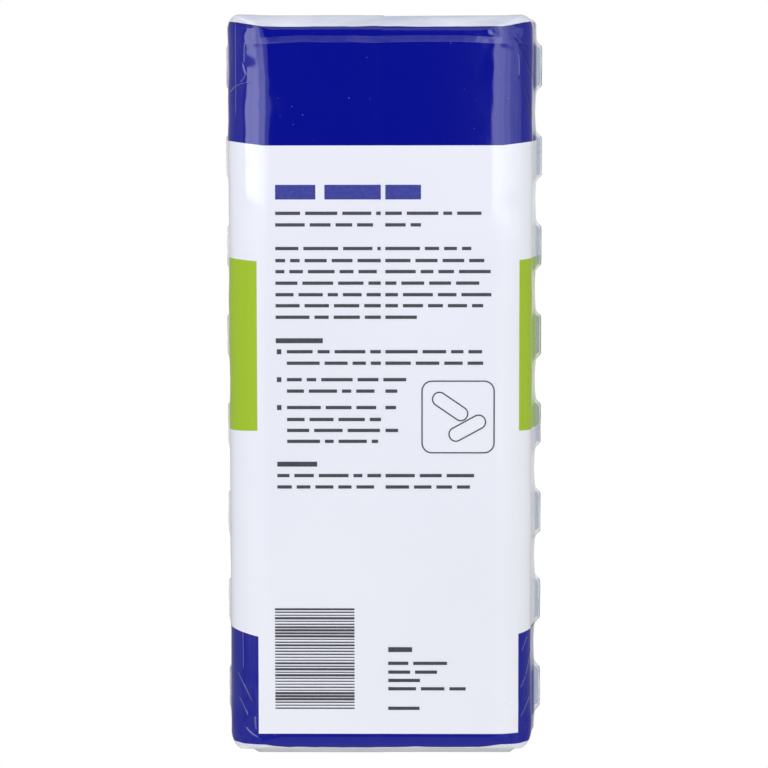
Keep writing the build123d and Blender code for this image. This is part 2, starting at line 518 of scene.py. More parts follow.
    def _step(self, x: Value, y: Value, wave: Value) -> Value:
        """Height of the film's slow rise toward the head edge and the step down before it."""
        off = x + wave * self.print_head_wave + abs(y).past(*self.step_bend_edge) * self.step_bend
        rise = ((off - self.step_start) * (1 / (self.step_top - self.step_start))).over(0).under(1)
        fall = ((self.step_foot - off) * (1 / (self.step_foot - self.step_top))).over(0).under(1)
        return rise * fall * self.step_drop

    def _puckers(self, graph: Graph, place: Value, x: Value, y: Value) -> Value:
        """Height of the soft puckers at the four corners."""
        front = (0 - y).past(*self.pucker_side) * self.pucker_front
        sides = front + y.past(*self.pucker_side) * self.pucker_rear
        return (graph.noise(place, self.pucker) - 0.5) * sides * abs(x).past(*self.pucker_end)

    def material(self) -> bpy.types.Material:
        """Make the film: print blocks, clear ends, creases, dust, a slightly uneven gloss, and painted
        shade and highlight along the creases, the head edge and the tabs' tips.
        """
        material, graph = new_material(self.name)
        place, x, y, z = object_place(graph)
        wave = graph.noise(place, self.wave) - 0.5
        streak = graph.noise(place, self.streak)
        fine = graph.noise(place, self.fine)
        blue, green = self._blocks(x, y)
        ends, painted_fold_shadow = self._ends(x, y, wave)
        creases, ridges, valleys = self._creases(x, y)
        thin, tip = self._thin(y, z, wave)
        thin = thin * (1 - ends)

        colour = graph.mix(graph.noise(place, self.cloud), self.white, self.white_shade)
        colour = graph.mix(green, colour, self.green)
        colour = graph.mix(blue, colour, self.blue)
        # Painted fold shadow: the blue print darkened in a thin line along its head edge, where the film
        # folds over.
        colour = graph.mix(painted_fold_shadow * blue * 0.8, colour, self.blue_painted_shade)
        colour = graph.mix(ends, colour, graph.mix(streak.past(0.48, 0.42), self.clear, self.haze))
        # Painted highlight: crease ridges lightened toward white.
        colour = graph.mix(ridges.past(0.72, 0.4) * self.ridge_highlight, colour, self.white)
        # Painted shade: crease valleys darkened toward the dark blue, within the blue print.
        dark = graph.mix(blue, colour, self.blue_painted_shade)
        colour = graph.mix(valleys.past(0.6, 0.5) * self.valley_shade, colour, dark)
        colour = graph.mix(self._dust(graph, place) * (1 - ends), colour, self.white)
        colour = graph.mix(thin * (blue * 0.55 + 0.35), colour, self.haze)
        cover = 1 - ends * (1 - self.end_cover - streak * self.end_streak) - thin * (1 - self.tab_cover)

        height = graph.noise(place, self.ripple) + fine * 0.06
        sockets = {"Strength": 0.1, "Distance": self.ripple_depth * MM, "Height": height}
        normal = graph.value("ShaderNodeBump", {}, sockets)
        height = self._step(x, y, wave) + creases + self._puckers(graph, place, x, y)
        sockets = {"Strength": 1.0, "Distance": MM, "Height": height, "Normal": normal}
        normal = graph.value("ShaderNodeBump", {}, sockets)

        sheet = graph.node("ShaderNodeBsdfPrincipled", {}, {
            "Base Color": colour,
            "Roughness": fine * 0.05 + 0.05,
            "IOR": 1.75,
            "Alpha": cover,
            "Normal": normal,
        })
        # Painted shade: a dark matt line along the tabs' tips, standing in for the shadow at the film's
        # edge over the tabs.
        shade = graph.node("ShaderNodeBsdfDiffuse", {}, {"Color": (*self.tip_shade, 1)})
        sockets = {0: tip * self.tip_shade_share, 1: sheet.outputs[0], 2: shade.outputs[0]}
        both = graph.node("ShaderNodeMixShader", {}, sockets)
        graph.node("ShaderNodeOutputMaterial", {}, {"Surface": both.outputs[0]})
        return material


def make_object(
    name: str, mesh: bpy.types.Mesh, material: bpy.types.Material
) -> bpy.types.Object:
    """Link a new object that holds a mesh and one material.

    Args:
        name: The piece's name.
        mesh: Its mesh, in place.
        material: Its material.

    Returns:
        The new object.
    """
    mesh.materials.clear()
    mesh.materials.append(material)
    made = bpy.data.objects.new(name, mesh)
    bpy.context.scene.collection.objects.link(made)
    return made


def plain_mesh(made: bpy.types.Object) -> None:
    """Replace an object's mesh by what its modifiers make of it, and remove them."""
    bpy.context.view_layer.update()
    evaluated = made.evaluated_get(bpy.context.evaluated_depsgraph_get())
    mesh = bpy.data.meshes.new_from_object(evaluated)
    made.modifiers.clear()
    made.data = mesh
    mesh.set_sharp_from_angle(angle=SHARP_ANGLE)


@dataclass(frozen=True)
class Crumple:
    """A crumpled corner of the film: centre in the photograph's frame, reach and height in millimetres."""

    centre: tuple[float, float]
    reach: float
    height: float
    seed: int
    planes: int = 14
    lean: float = 0.34
    offsets: Span = (-1.2, 0.4)
    flat_share: float = 0.7
    depth_share: float = 0.7
    clip: Span = (-0.05, 1.6)


@dataclass
class FilmHalf:
    """The film round one tray: a flat base, rounded edges, and walls drawn out over the lid tabs."""

    row: Row
    crumples: tuple[Crumple, ...]
    seed: int
    side_round: float
    side_rise: float
    shoulder: float
    valley: float
    flat_x: float = 107.5
    flat_y: float = 34.3
    margin: float = 1.0
    base_z: float = 0.05
    lowest_z: float = 0.02
    end_round: float = 4.4
    round_turn: float = math.radians(85)
    shoulder_z: float = 12.0
    collar_z: float = 27.55
    top_z: float = 29.55
    middle_z: float = 18.0
    up_normal: float = 0.6
    head_x: float = 112.5
    foot_x: float = 118.3
    tip: float = 48.85
    tip_half: float = 5.6
    root_half: float = 8.0
    valley_sag: float = 0.3
    corner: float = 4.0
    head_cut: tuple[float, float] = (2.8, 8.5)
    foot_cut: tuple[float, float] = (9.0, 8.0)
    foot_straight: float = 0.75
    groove: float = 0.1
    groove_half: float = 3.2
    groove_level: Span = (2.0, 6.0)
    edge_fade: float = 6.0
    wall_foot: Span = (9.0, 17.0)
    wall_head: Span = (26.0, 29.0)
    waves: int = 16
    wave_lengths: Span = (9.0, 60.0)
    wave_lean: float = 0.5
    wave_height: float = 0.0035
    wave_power: float = 0.6
    ripples: int = 10
    ripple_lengths: Span = (4.0, 14.0)
    ripple_lean: float = 1.2
    ripple_height: float = 0.012
    thickness: float = 0.2
    weld: float = 0.002
    end_columns: int = 34
    corner_columns: int = 16
    side_columns: int = 300
    arc_rows: int = 22
    wall_rows: int = 18
    top_rows: int = 2

    def tab_reach(self, x: np.ndarray) -> np.ndarray:
        """How far the film stands out at the lids' level along the long side.

        Args:
            x: Places along the side, from the trays' centre.

        Returns:
            The reach in y at each place.
        """
        near = np.min(np.abs(x[:, None] - np.array(COMPARTMENT_XS)[None, :]), axis=1)
        share = np.clip((near - self.tip_half) / (self.root_half - self.tip_half), 0, 1)
        share = share * share * (3 - 2 * share)
        root = self.valley + self.valley_sag
        gap = np.clip((near - self.root_half) / (PITCH / 2 - self.root_half), 0, 1)
        low = root - self.valley_sag * (1 - (1 - gap) ** 2)
        return self.tip * (1 - share) + low * share

    def levels(self) -> list[tuple[float, ...]]:
        """Sizes of the skirt's rows from the base's edge up.

        Returns:
            For each row: side reach, side z, head reach, foot reach, end z, corner radius, tab share.
        """
        inner_y, inner_x = self.flat_y - self.margin, self.flat_x - self.margin
        rows = [(inner_y, 0.0, inner_x, inner_x, 0.0, 0.0, 0.0)]
        rows.append((self.flat_y, 0.0, self.flat_x, self.flat_x, 0.0, self.margin, 0.0))
        for step in range(1, self.arc_rows + 1):
            angle = self.round_turn * step / self.arc_rows
            out, rise = math.sin(angle), 1 - math.cos(angle)
            end = self.flat_x + self.end_round * out
            radius = self.margin + (self.corner - self.margin) * out
            side, side_z = self.flat_y + self.side_round * out, self.side_rise * rise
            rows.append((side, side_z, end, end, self.end_round * rise, radius, 0.0))
        side, side_z, end, _, end_z, _, _ = rows[-1]
        for step in range(1, self.wall_rows + 1):
            share = step / self.wall_rows
            z = side_z + (self.collar_z - side_z) * share
            tab = max(0.0, (z - self.shoulder_z) / (self.collar_z - self.shoulder_z))
            rise = min(1.0, (z - side_z) / max(self.shoulder_z - side_z, 0.1))
            level = end_z + (self.collar_z - end_z) * share
            flare = max(0.0, (level - self.shoulder_z) / (self.collar_z - self.shoulder_z))
            head = end + (self.head_x - end) * share
            foot = head + (self.foot_x - self.head_x) * flare
            rows.append((side + (self.shoulder - side) * rise, z, head, foot, level, self.corner, tab))
        for step in range(1, self.top_rows + 1):
            z = self.collar_z + (self.top_z - self.collar_z) * step / self.top_rows
            rows.append((self.shoulder, z, self.head_x, self.foot_x, z, self.corner, 1.0))
        return rows

    def outline(self, level: tuple[float, ...]) -> np.ndarray:
        """Points of one row from the middle of the head end round to the middle of the foot end.

        Args:
            level: The row's sizes, as levels gives them.

        Returns:
            An array of points: x from the trays' centre, distance from the middle plane, z.
        """
        side, side_z, head, foot, end_z, radius, tab = level
        flare = max(0.0, (end_z - self.shoulder_z) / (self.top_z - self.shoulder_z))
        head_cut, foot_cut = (
            [radius + (size - radius) * flare for size in cut] for cut in (self.head_cut, self.foot_cut)
        )
        across = np.linspace(0, 1, self.end_columns + 1)
        bend = np.linspace(0, 1, self.corner_columns + 1)[1:-1] * math.pi / 2
        along = np.linspace(1, -1, self.side_columns + 1)
        side_x = np.where(along > 0, along * (head - head_cut[0]), along * (foot - foot_cut[0]))
        reach = side + (self.tab_reach(side_x) - side) * tab
        head_y, foot_y = reach[0] - head_cut[1], reach[-1] - foot_cut[1]
        parts = [np.column_stack(np.broadcast_arrays(head, across * head_y, end_z))]
        corners = ((1, head, head_y, head_cut), (-1, foot, foot_y, foot_cut))
        for end, tip, base, (cut_x, cut_y) in corners:
            turn = bend if end > 0 else bend[::-1]
            lift = end_z + (side_z - end_z) * np.sin(turn) ** 2
            straight = self.foot_straight * flare if end < 0 else 0.0
            share = 2 * turn / math.pi
            out = np.cos(turn) * (1 - straight) + (1 - share) * straight
            aside = np.sin(turn) * (1 - straight) + share * straight
            parts.append(np.column_stack([end * (tip - cut_x + cut_x * out), base + cut_y * aside, lift]))
        parts.insert(2, np.column_stack(np.broadcast_arrays(side_x, reach, side_z)))
        parts.append(np.column_stack(np.broadcast_arrays(-foot, across[::-1] * foot_y, end_z)))
        return np.concatenate(parts)

    def base_grid(self, rim: np.ndarray) -> np.ndarray:
        """The flat base inside the skirt's first row.

        Args:
            rim: The skirt's first row of points.

        Returns:
            A grid of points, by place along the side and place across.
        """
        start = self.end_columns + self.corner_columns
        xs = rim[start:start + self.side_columns + 1, 0]
        ys = rim[:self.end_columns + 1, 1]
        gx, gy = np.meshgrid(xs, ys, indexing="ij")
        return np.stack([gx, gy, np.zeros_like(gx)], axis=-1)

    def relief(self, points: np.ndarray) -> np.ndarray:
        """How far the film stands off its smooth shape.

        Args:
            points: Points of the smooth shape.

        Returns:
            The outward distance at each point.
        """
        draw = np.random.default_rng(self.seed)
        x, y, z = points[..., 0], points[..., 1] * self.row.value, points[..., 2]
        around = np.abs(y) + z
        off_base = np.maximum(np.abs(y) - self.flat_y - self.margin, np.abs(x) - self.flat_x)
        edge = np.clip(off_base / self.edge_fade, 0, 1)
        wall = np.interp(z, self.wall_foot, (0, 1)) * np.interp(z, self.wall_head, (1, 0))
        relief = np.zeros_like(x)
        for _ in range(self.waves):
            length = draw.uniform(*self.wave_lengths)
            lean = draw.uniform(-self.wave_lean, self.wave_lean)
            phase = draw.uniform(0, math.tau)
            wave = np.sin(math.tau * (x + lean * around) / length + phase)
            relief += self.wave_height * length ** self.wave_power * wave * edge
        for _ in range(self.ripples):
            length = draw.uniform(*self.ripple_lengths)
            lean = draw.uniform(-self.ripple_lean, self.ripple_lean)
            phase = draw.uniform(0, math.tau)
            relief += self.ripple_height * np.sin(math.tau * (x + lean * z) / length + phase) * wall
        for crumple in self.crumples:
            relief += self._facets(crumple, x, y, z)
        return relief

    def _facets(self, crumple: Crumple, x: np.ndarray, y: np.ndarray, z: np.ndarray) -> np.ndarray:
        """Height of one crumple: flat facets that meet in sharp ridges, fading out round it."""
        draw = np.random.default_rng(crumple.seed)
        cx, cy = plan_of(crumple.centre)
        u, v, w = x - cx, y - cy, z * crumple.depth_share
        planes = []
        for _ in range(crumple.planes):
            lean = draw.normal(0, crumple.lean, 3)
            planes.append(lean[0] * u + lean[1] * v + lean[2] * w + draw.uniform(*crumple.offsets))
        steep = np.max(np.stack(planes[:crumple.planes // 2]), axis=0)
        ridge = np.minimum(steep, np.max(np.stack(planes), axis=0) * crumple.flat_share)
        far = np.sqrt(u * u + v * v + w * w) / crumple.reach
        off_side = np.abs(y) - self.flat_y + 2 * self.margin
        off_end = np.abs(x) - self.flat_x + 3 * self.margin
        rounding = np.clip(np.maximum(off_side, off_end) / (3 * self.margin), 0, 1)
        return crumple.height * np.clip(ridge, *crumple.clip) * np.exp(-far ** 4) * rounding

    def smooth_sheet(self) -> list[np.ndarray]:
        """The film's outer face before its relief, as two grids of points: the skirt and the base."""
        skirt = np.stack([self.outline(level) for level in self.levels()])
        return [skirt, self.base_grid(skirt[0])]

    @staticmethod
    def _normals(grid: np.ndarray) -> np.ndarray:
        """Unit normals of a grid of points, by differences along it."""
        normal = np.cross(np.gradient(grid, axis=1), np.gradient(grid, axis=0))
        size = np.linalg.norm(normal, axis=-1, keepdims=True)
        return normal / np.maximum(size, 1e-9)

    def place_points(self, grid: np.ndarray) -> np.ndarray:
        """Add the relief to a grid of the smooth sheet and put it in place.

        Args:
            grid: A grid of points, x from the trays' centre, distance from the middle, z.

        Returns:
            The points in metres, in the frame.
        """
        outward = self._normals(grid)
        outward = np.where(outward[..., 2:3] > self.up_normal, -outward, outward)
        from_middle = grid - np.array([0.0, 0.0, self.middle_z])
        inward = np.sum(outward * from_middle, axis=-1, keepdims=True) < 0
        outward = np.where(inward, -outward, outward)
        x, y, z = np.moveaxis(grid + outward * self.relief(grid)[..., None], -1, 0)
        groove = self.groove * np.exp(-(grid[..., 1] / self.groove_half) ** 2)
        groove = groove * np.interp(grid[..., 2], self.groove_level, (1, 0))
        z = np.clip(z + groove + self.base_z, self.lowest_z, self.top_z)
        y = np.clip(y, 0, self.tip) * self.row.value
        x = np.clip(x, -self.foot_x, self.head_x) + CENTRE_X
        return np.stack([x, y, z], axis=-1) * MM

    def build(self, material: bpy.types.Material) -> bpy.types.Object:
        """Make the film half as one closed thin shell and put it on its body.

        Args:
            material: The printed film's material.

        Returns:
            The finished piece.
        """
        sheet = bmesh.new()
        for grid in self.smooth_sheet():
            points = self.place_points(grid)
            count, width = points.shape[:2]
            verts = [[sheet.verts.new(p) for p in row] for row in points]
            for i in range(count - 1):
                for j in range(width - 1):
                    near, far = verts[i][j:j + 2], verts[i + 1][j:j + 2]
                    sheet.faces.new((*near, *reversed(far)))
        bmesh.ops.remove_doubles(sheet, verts=sheet.verts, dist=self.weld * MM)
        bmesh.ops.recalc_face_normals(sheet, faces=sheet.faces)
        lowest = min(sheet.faces, key=lambda f: f.calc_center_median().z)
        if lowest.normal.z > 0:
            bmesh.ops.reverse_faces(sheet, faces=sheet.faces)
        for face in sheet.faces:
            face.smooth = True
        mesh = bpy.data.meshes.new(f"film_{self.row.label}_sheet")
        sheet.to_mesh(mesh)
        sheet.free()
        piece = make_object(f"film_wrap_{self.row.label}", mesh, material)
        wall = piece.modifiers.new("wall", "SOLIDIFY")
        wall.thickness = self.thickness * MM
        wall.offset = -1
        plain_mesh(piece)
        piece.visible_diffuse = False
        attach(piece, self.row.label)
        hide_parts(f"film_{self.row.label}")
        return piece


@dataclass(frozen=True)
class TextLine:
    """One line of the back panel's plain bars, in pixels of the photograph's frame."""

    level: float
    start: float
    end: float


@dataclass(frozen=True)
class Bar:
    """One ink bar on the base, in millimetres: its middle, its length across and its height."""

    x: float
    y: float
    length: float
    height: float


@dataclass
class PanelPrint:
    """Plain ink bars in rows of word length, a ruled block, and a framed sign of two capsules."""

    bar_height: float = 1.0
    heading_height: float = 1.5
    title_height: float = 4.4
    shortest: float = 2.6
    longest: float = 10.5
    fill_share: float = 0.6
    stub_share: float = 0.35
    word_gap: float = 1.5
    ink_low: float = 0.004
    ink_high: float = 0.11
    seam_gap: float = 0.7
    stroke: float = 0.4
    seed: int = 7
    body_lines: tuple[TextLine, ...] = (
        TextLine(215, 276, 481), TextLine(226.5, 276, 421), TextLine(250, 276, 471),
        TextLine(262, 276, 488), TextLine(273, 276, 494), TextLine(284.5, 276, 479),
        TextLine(296, 276, 491), TextLine(307, 276, 489), TextLine(318.5, 276, 424),
        TextLine(353, 287, 485), TextLine(364.5, 287, 483), TextLine(381, 287, 413),
        TextLine(392.5, 287, 407), TextLine(409, 287, 396), TextLine(421, 287, 390),
        TextLine(432, 287, 406), TextLine(443, 287, 378), TextLine(477.5, 277, 476),
        TextLine(489, 277, 470), TextLine(668, 388, 452), TextLine(677, 388, 445),
        TextLine(685.5, 388, 430), TextLine(694, 388, 466), TextLine(714, 388, 425),
    )
    headings: tuple[TextLine, ...] = (
        TextLine(342, 276, 323), TextLine(466, 277, 317), TextLine(654, 388, 412),
    )
    bullets: tuple[TextLine, ...] = tuple(TextLine(level, 277, 281.5) for level in (353, 381, 409))
    title: tuple[TextLine, ...] = (
        TextLine(194, 276, 316), TextLine(194, 325, 381), TextLine(194, 385.6, 421),
    )
    ruled: tuple[TextLine, TextLine] = (TextLine(613, 274, 354), TextLine(714, 274, 354))
    ruled_count: int = 34
    ruled_weights: tuple[float, ...] = (0.32, 0.4, 0.6, 0.72)
    sign: tuple[float, float, float] = (418.5, 458.0, 36.0)
    sign_corner: float = 3.0
    capsule: tuple[float, float, float] = (2.1, 6.0, 2.05)
    capsule_places: tuple[tuple[float, float, float], ...] = ((3.2, -2.4, 0.6), (-3.4, 2.8, -0.5))

    def across(self, pixel: float) -> float:
        """The y of a pixel column on the base."""
        return (pixel - PHOTO_CENTRE[0]) / BASE_SCALE

    def along(self, pixel: float) -> float:
        """The frame's x of a pixel row on the base."""
        return (PHOTO_CENTRE[1] - pixel) / BASE_SCALE + CENTRE_X

    def tree(self) -> bpy.types.NodeTree:
        """Make the node tree that sets an ink bar of its own size on each point.

        Returns:
            The tree, with its sizes as named inputs.
        """
        group = bpy.data.node_groups.new("ink_bars", "GeometryNodeTree")
        graph = Graph(group)
        face = group.interface
        face.new_socket("Geometry", in_out="INPUT", socket_type="NodeSocketGeometry")
        face.new_socket("Thickness", in_out="INPUT", socket_type="NodeSocketFloat")
        face.new_socket("Ink", in_out="INPUT", socket_type="NodeSocketMaterial")
        face.new_socket("Geometry", in_out="OUTPUT", socket_type="NodeSocketGeometry")
        sizes = graph.node("NodeGroupInput").outputs
        height, length = (
            graph.value("GeometryNodeInputNamedAttribute", {"data_type": "FLOAT"}, {"Name": name})
            for name in ("bar_height", "bar_length")
        )
        size = graph.node("ShaderNodeCombineXYZ", {}, {0: height, 1: length, 2: sizes["Thickness"]})
        bar = graph.node("GeometryNodeMeshCube", {}, {"Size": (1, 1, 1)})
        bars = graph.node(
            "GeometryNodeInstanceOnPoints", {},
            {"Points": sizes["Geometry"], "Instance": bar.outputs[0], "Scale": size.outputs[0]},
        )
        solid = graph.node("GeometryNodeRealizeInstances", {}, {0: bars.outputs[0]})
        sockets = {"Geometry": solid.outputs[0], "Material": sizes["Ink"]}
        inked = graph.node("GeometryNodeSetMaterial", {}, sockets)
        graph.node("NodeGroupOutput", {}, {0: inked.outputs[0]})
        return group

    def words(self, lines: Sequence[TextLine], height: float) -> list[Bar]:
        """Fill lines with bars of uneven word length that stay off the seam.

        Args:
            lines: The lines.
            height: Height of the bars.

        Returns:
            The bars.
        """
        draw = np.random.default_rng(self.seed)
        made = []
        for line in lines:
            y, end = self.across(line.start), self.across(line.end)
            while end - y > self.shortest * self.fill_share:
                length = min(draw.uniform(self.shortest, self.longest), end - y)
                stop = y + length
                if y < 0 < stop + self.seam_gap:
                    stop = -self.seam_gap
                if stop - y > self.shortest * self.stub_share:
                    made.append(Bar(self.along(line.level), (y + stop) / 2, stop - y, height))
                y = self.seam_gap if y < 0 < stop + 2 * self.seam_gap else stop + self.word_gap
        return made

    def whole(self, lines: Sequence[TextLine], height: float) -> list[Bar]:
        """Make one bar of each line."""
        ends = [(line.level, self.across(line.start), self.across(line.end)) for line in lines]
        return [Bar(self.along(level), (low + high) / 2, high - low, height) for level, low, high in ends]

    def ruled_block(self) -> list[Bar]:
        """Make the block of plain rules of mixed weight at the panel's foot."""
        draw = np.random.default_rng(self.seed + 1)
        first, last = self.ruled
        made = []
        step = (last.level - first.level) / (self.ruled_count - 1)
        for number in range(self.ruled_count):
            weight = float(draw.choice(self.ruled_weights))
            made += self.whole([TextLine(first.level + step * number, first.start, first.end)], weight)
        return made

    def build(
        self,
        name: str,
        row: Row,
        bars: Sequence[Bar],
        ink: bpy.types.Material,
        tree: bpy.types.NodeTree,
    ) -> bpy.types.Object | None:
        """Make the bars that lie on one film half as one piece.

        Args:
            name: The piece's name.
            row: The film half.
            bars: All the bars.
            ink: The ink's material.
            tree: The node tree.

        Returns:
            The piece, or None where no bar lies on that half.
        """
        own = [bar for bar in bars if bar.y * row.value > 0]
        if not own:
            return None
        middle = (self.ink_low + self.ink_high) / 2
        mesh = bpy.data.meshes.new(name)
        mesh.from_pydata([(bar.x * MM, bar.y * MM, middle * MM) for bar in own], [], [])
        fields = {"bar_length": [bar.length for bar in own], "bar_height": [bar.height for bar in own]}
        for field, sizes in fields.items():
            data = mesh.attributes.new(field, "FLOAT", "POINT").data
            data.foreach_set("value", [size * MM for size in sizes])
        piece = make_object(name, mesh, ink)
        modifier = piece.modifiers.new("bars", "NODES")
        modifier.node_group = tree
        values = {"Thickness": (self.ink_high - self.ink_low) * MM, "Ink": ink}
        for item in tree.interface.items_tree:
            if item.in_out == "INPUT" and item.name in values:
                modifier[item.identifier] = values[item.name]
        plain_mesh(piece)
        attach(piece, row.label)
        return piece

    def sign_paths(self) -> list[list[tuple[float, float]]]:
        """Closed outlines of the framed sign: a rounded square and two leaning capsules.

        Returns:
            Each outline as points in the frame's x and y, in millimetres.
        """
        level, column, half_px = self.sign
        cx, cy = self.along(level), self.across(column)
        half = half_px / BASE_SCALE
        paths = [rounded_path(cx, cy, (half, half, self.sign_corner), 0)]
        for dx, dy, lean in self.capsule_places:
            paths.append(rounded_path(cx + dx, cy + dy, self.capsule, lean))
        return paths

    def build_sign(self, ink: bpy.types.Material) -> bpy.types.Object:
        """Make the framed sign on the rear half of the panel.

        Args:
            ink: The ink's material.

        Returns:
            The piece.
        """
        outline = bmesh.new()
        for path in self.sign_paths():
            add_ribbon(outline, path, self.stroke, self.ink_low, self.ink_high)
        bmesh.ops.recalc_face_normals(outline, faces=outline.faces)
        mesh = bpy.data.meshes.new("panel_sign")
        outline.to_mesh(mesh)
        outline.free()
        piece = make_object("panel_sign", mesh, ink)
        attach(piece, Row.REAR.label)
        return piece


def rounded_path(
    cx: float, cy: float, sizes: tuple[float, float, float], lean: float, steps: int = 8
) -> list[tuple[float, float]]:
    """Outline of a rounded rectangle.

    Args:
        cx: Middle in x.
        cy: Middle in y.
        sizes: Half size in x, half size in y, and corner radius.
        lean: Turn about its middle, in radians.
        steps: Steps round each corner.

    Returns:
        The closed outline's points, in order.
    """
    half_x, half_y, radius = sizes
    cos, sin = math.cos(lean), math.sin(lean)
    points = []
    for corner, (sx, sy) in enumerate(((1, 1), (-1, 1), (-1, -1), (1, -1))):
        for step in range(steps + 1):
            angle = math.pi / 2 * (corner + step / steps)
            x = sx * (half_x - radius) + radius * math.cos(angle)
            y = sy * (half_y - radius) + radius * math.sin(angle)
            points.append((cx + x * cos - y * sin, cy + x * sin + y * cos))
    return points


def add_ribbon(
    sheet: bmesh.types.BMesh,
    path: Sequence[tuple[float, float]],
    width: float,
    low: float,
    high: float,
) -> None:
    """Add a flat band of even width along a closed outline.

    Args:
        sheet: The mesh to add to.
        path: The outline, in millimetres.
        width: The band's width.
        low: Its lower level.
        high: Its upper level.
    """
    line = np.array(path)
    ahead = np.roll(line, -1, axis=0) - np.roll(line, 1, axis=0)
    ahead /= np.maximum(np.linalg.norm(ahead, axis=1, keepdims=True), 1e-9)
    aside = np.column_stack([ahead[:, 1], -ahead[:, 0]]) * width / 2
    loops = []
    for offset, z in ((aside, low), (aside, high), (-aside, high), (-aside, low)):
        loops.append([sheet.verts.new((x * MM, y * MM, z * MM)) for x, y in line + offset])
    count = len(line)
    for loop, after in zip(loops, loops[1:] + loops[:1]):
        for i in range(count):
            j = (i + 1) % count
            sheet.faces.new((loop[i], loop[j], after[j], after[i]))


@dataclass
class LidMarks:
    """Raised weekday initials on the lids of one row."""

    row: Row
    lid_middle: float = 26.0
    lid_top: float = 29.75
    size: float = 11.5
    proud: float = 0.45
    sunk: float = 0.2
    bevel: float = 0.12

    def build(self, material: bpy.types.Material) -> list[bpy.types.Object]:
        """Make one mark on each lid, readable from the row's own tab side.

        Args:
            material: The marks' material.

        Returns:
            The marks.
        """
        made = []
        order = range(1, COMPARTMENTS + 1)
        numbers = order if self.row is Row.FRONT else reversed(order)
        for number, mark in zip(numbers, LidMark):
            made.append(self._mark(number, mark, material))
        return made

    def _mark(self, number: int, mark: LidMark, material: bpy.types.Material) -> bpy.types.Object:
        """Make one raised mark and put it on its lid."""
        words = bpy.data.curves.new("mark", "FONT")
        words.body = mark.value.strip()
        words.align_x = "CENTER"
        words.align_y = "CENTER"
        words.size = self.size
        words.extrude = (self.proud + self.sunk) / 2
        words.bevel_depth = self.bevel
        words.bevel_resolution = 1
        words.resolution_u = 6
        holder = bpy.data.objects.new("mark", words)
        bpy.context.scene.collection.objects.link(holder)
        bpy.context.view_layer.update()
        evaluated = holder.evaluated_get(bpy.context.evaluated_depsgraph_get())
        mesh = bpy.data.meshes.new_from_object(evaluated)
        bpy.data.objects.remove(holder)
        turn = 0 if self.row is Row.FRONT else math.pi
        x = COMPARTMENT_XS[number - 1] + CENTRE_X
        y = self.row.value * self.lid_middle
        z = self.lid_top + (self.proud - self.sunk) / 2
        place = Matrix.Translation((x * MM, y * MM, z * MM)) @ Matrix.Rotation(turn, 4, "Z")
        mesh.transform(place @ Matrix.Scale(MM, 4))
        piece = make_object(f"mark_{self.row.label}_{number}", mesh, material)
        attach(piece, f"lid_{self.row.label}_{number}")
        return piece


def look_matrix(place: Vector, target: Vector, up: Vector) -> Matrix:
    """Turn and place an object whose -Z looks at a target.

    Args:
        place: Where it stands.
        target: What it looks at.
        up: The direction of its +Y.

    Returns:
        Its world matrix.
    """
    back = (place - target).normalized()
    right = up.cross(back).normalized()
    turn = Matrix((right, back.cross(right), back)).transposed()
    return Matrix.Translation(place) @ turn.to_4x4()


